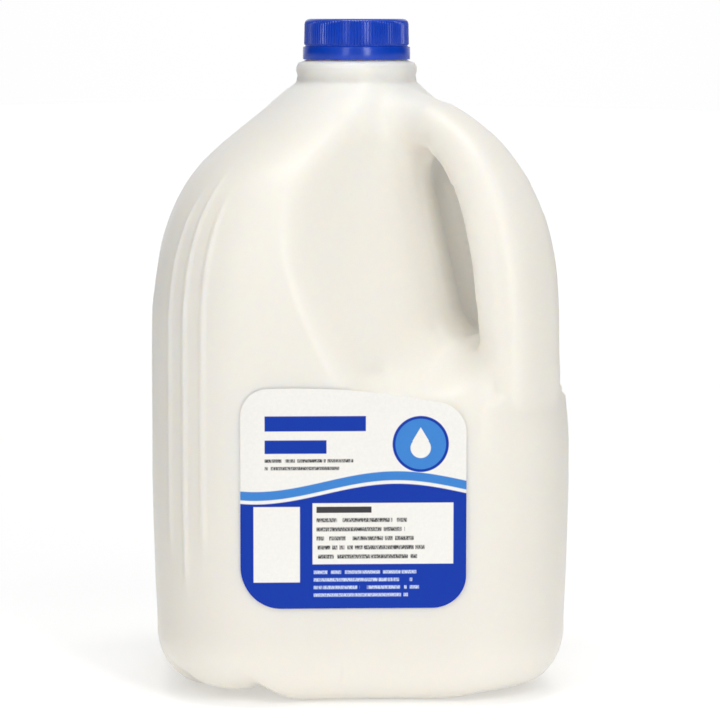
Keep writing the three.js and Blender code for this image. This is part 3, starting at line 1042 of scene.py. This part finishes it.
def label_paint(place, colours):
    """The print in layers: a wavy blue field, plain panels, bars for words and a disc with a drop."""
    across = (place.axis(0) + place.axis(1)) * (math.sqrt(0.5) / MM)
    up = place.axis(2) * (1 / MM)
    film, blue = rgba(colours.film), rgba(colours.blue)
    sky, ink = rgba(colours.sky), rgba(colours.ink)
    wave = up - across.math("SINE", across * WAVE_TURN + WAVE_START) * WAVE_HEIGHT
    from_disc = (across - DISC_ACROSS, up - DISC_UP)
    spread = distance(*from_disc)
    layers = (
        (1 - wave.rise(*FIELD_TOP), blue),
        (wave.within(*STRIPE), sky),
        (print_box(across, up, *HEADING) + print_box(across, up, *SECOND_HEADING), blue),
        (print_rows(across, up, *LEAD_ROWS), ink),
        (print_disc(spread, DISC_RIM), blue),
        (print_disc(spread, DISC_FIELD), sky),
        (print_drop(*from_disc), film),
        (print_box(across, up, *PANEL), film),
        (print_rows(across, up, *PANEL_ROWS), ink),
        (print_box(across, up, *PANEL_HEADING), ink),
        (print_box(across, up, *SIDE_PANEL), film),
        (print_rows(across, up, *FOOT_ROWS), rgba(PALE_PRINT)),
    )
    paint = film
    for mask, colour in layers:
        paint = mask.colour_mix(paint, colour)
    return paint


def label_finish(colours):
    """Printed white film with a faint grain."""
    material, shader, place = new_finish("printed_label_film")
    grain = place.noise(900.0)
    worn = grain.rise(0.35, 0.7).colour_mix((0.97, 0.97, 0.97, 1), WHITE)
    feed(shader, multiplied(label_paint(place, colours), worn), "Base Color")
    feed(shader, grain * 0.1 + 0.36, "Roughness")
    bump = {"Strength": 0.04, "Distance": 0.0002, "Height": grain}
    feed(shader, place.node("ShaderNodeBump", {}, bump), "Normal")
    shader.inputs["Specular IOR Level"].default_value = 0.18
    return material


class MILK_JUG_OT_label(bpy.types.Operator):
    """Lays the printed label on the front of the jug"""

    bl_idname = "milk_jug.label"
    bl_label = "Lay Label"

    def execute(self, context):
        deselect_all()
        bpy.ops.mesh.primitive_grid_add(x_subdivisions=LABEL_CELLS, y_subdivisions=LABEL_CELLS, size=1)
        obj = context.object
        obj.name = "printed_label"
        lay_label(obj)
        apply_modifier(obj, "SOLIDIFY", thickness=LABEL_FILM * MM, offset=1.0)
        finish_piece(obj, "label", label_finish(context.scene.milk_jug.label), LABEL_SHARP)
        return {"FINISHED"}


# Studio.

FLOOR_SIZE = 14
# The lit strip of the floor, in metres: its half width at the jug, how fast it widens behind the jug,
# the share of its half width over which it fades, and where it ends in front.
STRIP_HALF = 0.17
STRIP_SPREAD = 0.12
STRIP_FADE = (1.0, 1.9)
STRIP_END = (0.2, 0.36)
# Share of the glow at the jug, and the run behind it over which the glow grows to the full.
STRIP_GLOW = 0.45
STRIP_RUN = (0.2, 2.5)

SENSOR_WIDTH = 36
LIGHT_TARGET = (0, 0, 0.12)
# Tall soft boxes on both sides of the camera, as (name, turn in degrees, power in watts).
SIDE_LIGHTS = (("left_light", -23, 3.7), ("right_light", 23, 8.4))
SIDE_LIGHT_SIZE = (0.32, 1.7)
SIDE_LIGHT_AWAY = 1.5
SIDE_LIGHT_HEIGHT = 0.7
TOP_LIGHT_SIZE = (0.9, 0.45)
TOP_LIGHT_FORWARD = 0.15
TOP_LIGHT_HEIGHT = 1.7
TOP_LIGHT_POWER = 6.0
# Glow of the surroundings: overhead, from the camera's side, from the backdrop and all round.
OVERHEAD_GLOW = 1.1
FRONT_GLOW = 0.3
FRONT_SPAN = (0.2, 1.0)
BACKDROP_GLOW = 0.95
BACKDROP_SPAN = (0.55, 1.0)
ROUND_GLOW = 0.05

UPRIGHT = Vector((0, 0, 1))


def aim(obj, target):
    """Turns a camera or a light towards a point."""
    obj.rotation_euler = (Vector(target) - obj.location).to_track_quat("-Z", "Y").to_euler()


def studio_floor(settings, toward, right):
    """A wide pale floor with a faint mottle and a painted glow, an emission strip along the camera's view.
    """
    deselect_all()
    bpy.ops.mesh.primitive_plane_add(size=FLOOR_SIZE)
    floor = bpy.context.object
    floor.name = "studio_floor"
    material, shader, place = new_finish("pale_floor")
    mottle = place.noise(3.0).rise(0.3, 0.7)
    dimmer = tuple(0.99 * c for c in settings.floor)
    feed(shader, mottle.colour_mix(rgba(dimmer), rgba(settings.floor)), "Base Color")
    shader.inputs["Roughness"].default_value = 0.7
    shader.inputs["Specular IOR Level"].default_value = 0.1
    ahead, aside = place.dot(toward), place.dot(right)
    behind = (0 - ahead).greater(0.0)
    half = behind * STRIP_SPREAD + STRIP_HALF
    strip = (1 - (abs(aside) / half).rise(*STRIP_FADE)) * (1 - ahead.rise(*STRIP_END))
    glow = strip * (behind.rise(*STRIP_RUN) * (1 - STRIP_GLOW) + STRIP_GLOW)
    # Painted light: the floor itself glows in the strip, with no lamp under it.
    feed(shader, glow.colour_mix(BLACK, WHITE), "Emission Color")
    shader.inputs["Emission Strength"].default_value = settings.floor_glow
    floor.data.materials.append(material)


def soft_box(name, place, size, power):
    """A large light of a width and a height, aimed at the jug."""
    data = bpy.data.lights.new(name, "AREA")
    data.shape = "RECTANGLE"
    data.size, data.size_y = size
    data.energy = power
    lamp = bpy.data.objects.new(name, data)
    bpy.context.scene.collection.objects.link(lamp)
    lamp.location = place
    aim(lamp, LIGHT_TARGET)


def studio_lights(toward, right):
    for name, turn, power in SIDE_LIGHTS:
        aside = math.radians(turn)
        away = (toward * math.cos(aside) + right * math.sin(aside)) * SIDE_LIGHT_AWAY
        soft_box(name, away + UPRIGHT * SIDE_LIGHT_HEIGHT, SIDE_LIGHT_SIZE, power)
    above = toward * TOP_LIGHT_FORWARD + UPRIGHT * TOP_LIGHT_HEIGHT
    soft_box("top_light", above, TOP_LIGHT_SIZE, TOP_LIGHT_POWER)


def studio_camera(settings, toward, right):
    camera = bpy.data.objects.new("camera", bpy.data.cameras.new("camera"))
    bpy.context.scene.collection.objects.link(camera)
    camera.location = toward * settings.distance + UPRIGHT * settings.height
    aim(camera, right * settings.aim_right + UPRIGHT * settings.aim_height)
    camera.data.lens = settings.lens
    camera.data.sensor_width = SENSOR_WIDTH
    bpy.context.scene.camera = camera


def studio_glow(toward):
    """Soft white surroundings, brightest overhead and behind the jug."""
    world = bpy.data.worlds.new("studio")
    world.use_nodes = True
    nodes = world.node_tree.nodes
    sky = Wire(world.node_tree, nodes.new("ShaderNodeTexCoord").outputs["Generated"])
    up, facing = sky.axis(2), sky.dot(toward)
    overhead = up * up * up * up * OVERHEAD_GLOW
    front = facing.rise(*FRONT_SPAN) * FRONT_GLOW
    backdrop = (0 - facing).rise(*BACKDROP_SPAN) * BACKDROP_GLOW
    shell = nodes["Background"]
    shell.inputs["Color"].default_value = WHITE
    feed(shell, overhead + front + backdrop + ROUND_GLOW, "Strength")
    bpy.context.scene.world = world


class MILK_JUG_OT_stage(bpy.types.Operator):
    """Sets up the floor, the light and the camera"""

    bl_idname = "milk_jug.stage"
    bl_label = "Set Stage"

    def execute(self, context):
        settings = context.scene.milk_jug.stage
        toward = Vector((math.sin(settings.azimuth), -math.cos(settings.azimuth), 0))
        right = Vector((math.cos(settings.azimuth), math.sin(settings.azimuth), 0))
        studio_floor(settings, toward, right)
        studio_camera(settings, toward, right)
        studio_lights(toward, right)
        studio_glow(toward)
        context.scene.view_settings.view_transform = "Standard"
        return {"FINISHED"}


class MILK_JUG_PT_panel(bpy.types.Panel):
    """The steps that dress the milk jug, with their settings"""

    bl_idname = "MILK_JUG_PT_panel"
    bl_label = "Milk Jug"
    bl_space_type = "VIEW_3D"
    bl_region_type = "UI"
    bl_category = "Milk Jug"

    def draw(self, context):
        settings = context.scene.milk_jug
        for step, group in (
            (MILK_JUG_OT_jug, settings.jug),
            (MILK_JUG_OT_cap, settings.cap),
            (MILK_JUG_OT_label, settings.label),
            (MILK_JUG_OT_stage, settings.stage),
        ):
            box = self.layout.box()
            box.operator(step.bl_idname)
            for name in group.__annotations__:
                box.prop(group, name)


CLASSES = (
    JugProperties,
    CapProperties,
    LabelProperties,
    StageProperties,
    MilkJugSettings,
    MILK_JUG_OT_jug,
    MILK_JUG_OT_cap,
    MILK_JUG_OT_label,
    MILK_JUG_OT_stage,
    MILK_JUG_PT_panel,
)


def register():
    for cls in CLASSES:
        bpy.utils.register_class(cls)
    bpy.types.Scene.milk_jug = PointerProperty(type=MilkJugSettings)


def unregister():
    del bpy.types.Scene.milk_jug
    for cls in reversed(CLASSES):
        bpy.utils.unregister_class(cls)


def main():
    register()
    bpy.ops.milk_jug.jug()
    bpy.ops.milk_jug.cap()
    bpy.ops.milk_jug.label()
    bpy.ops.milk_jug.stage()
    deselect_all()


if __name__ == "__main__":
    main()
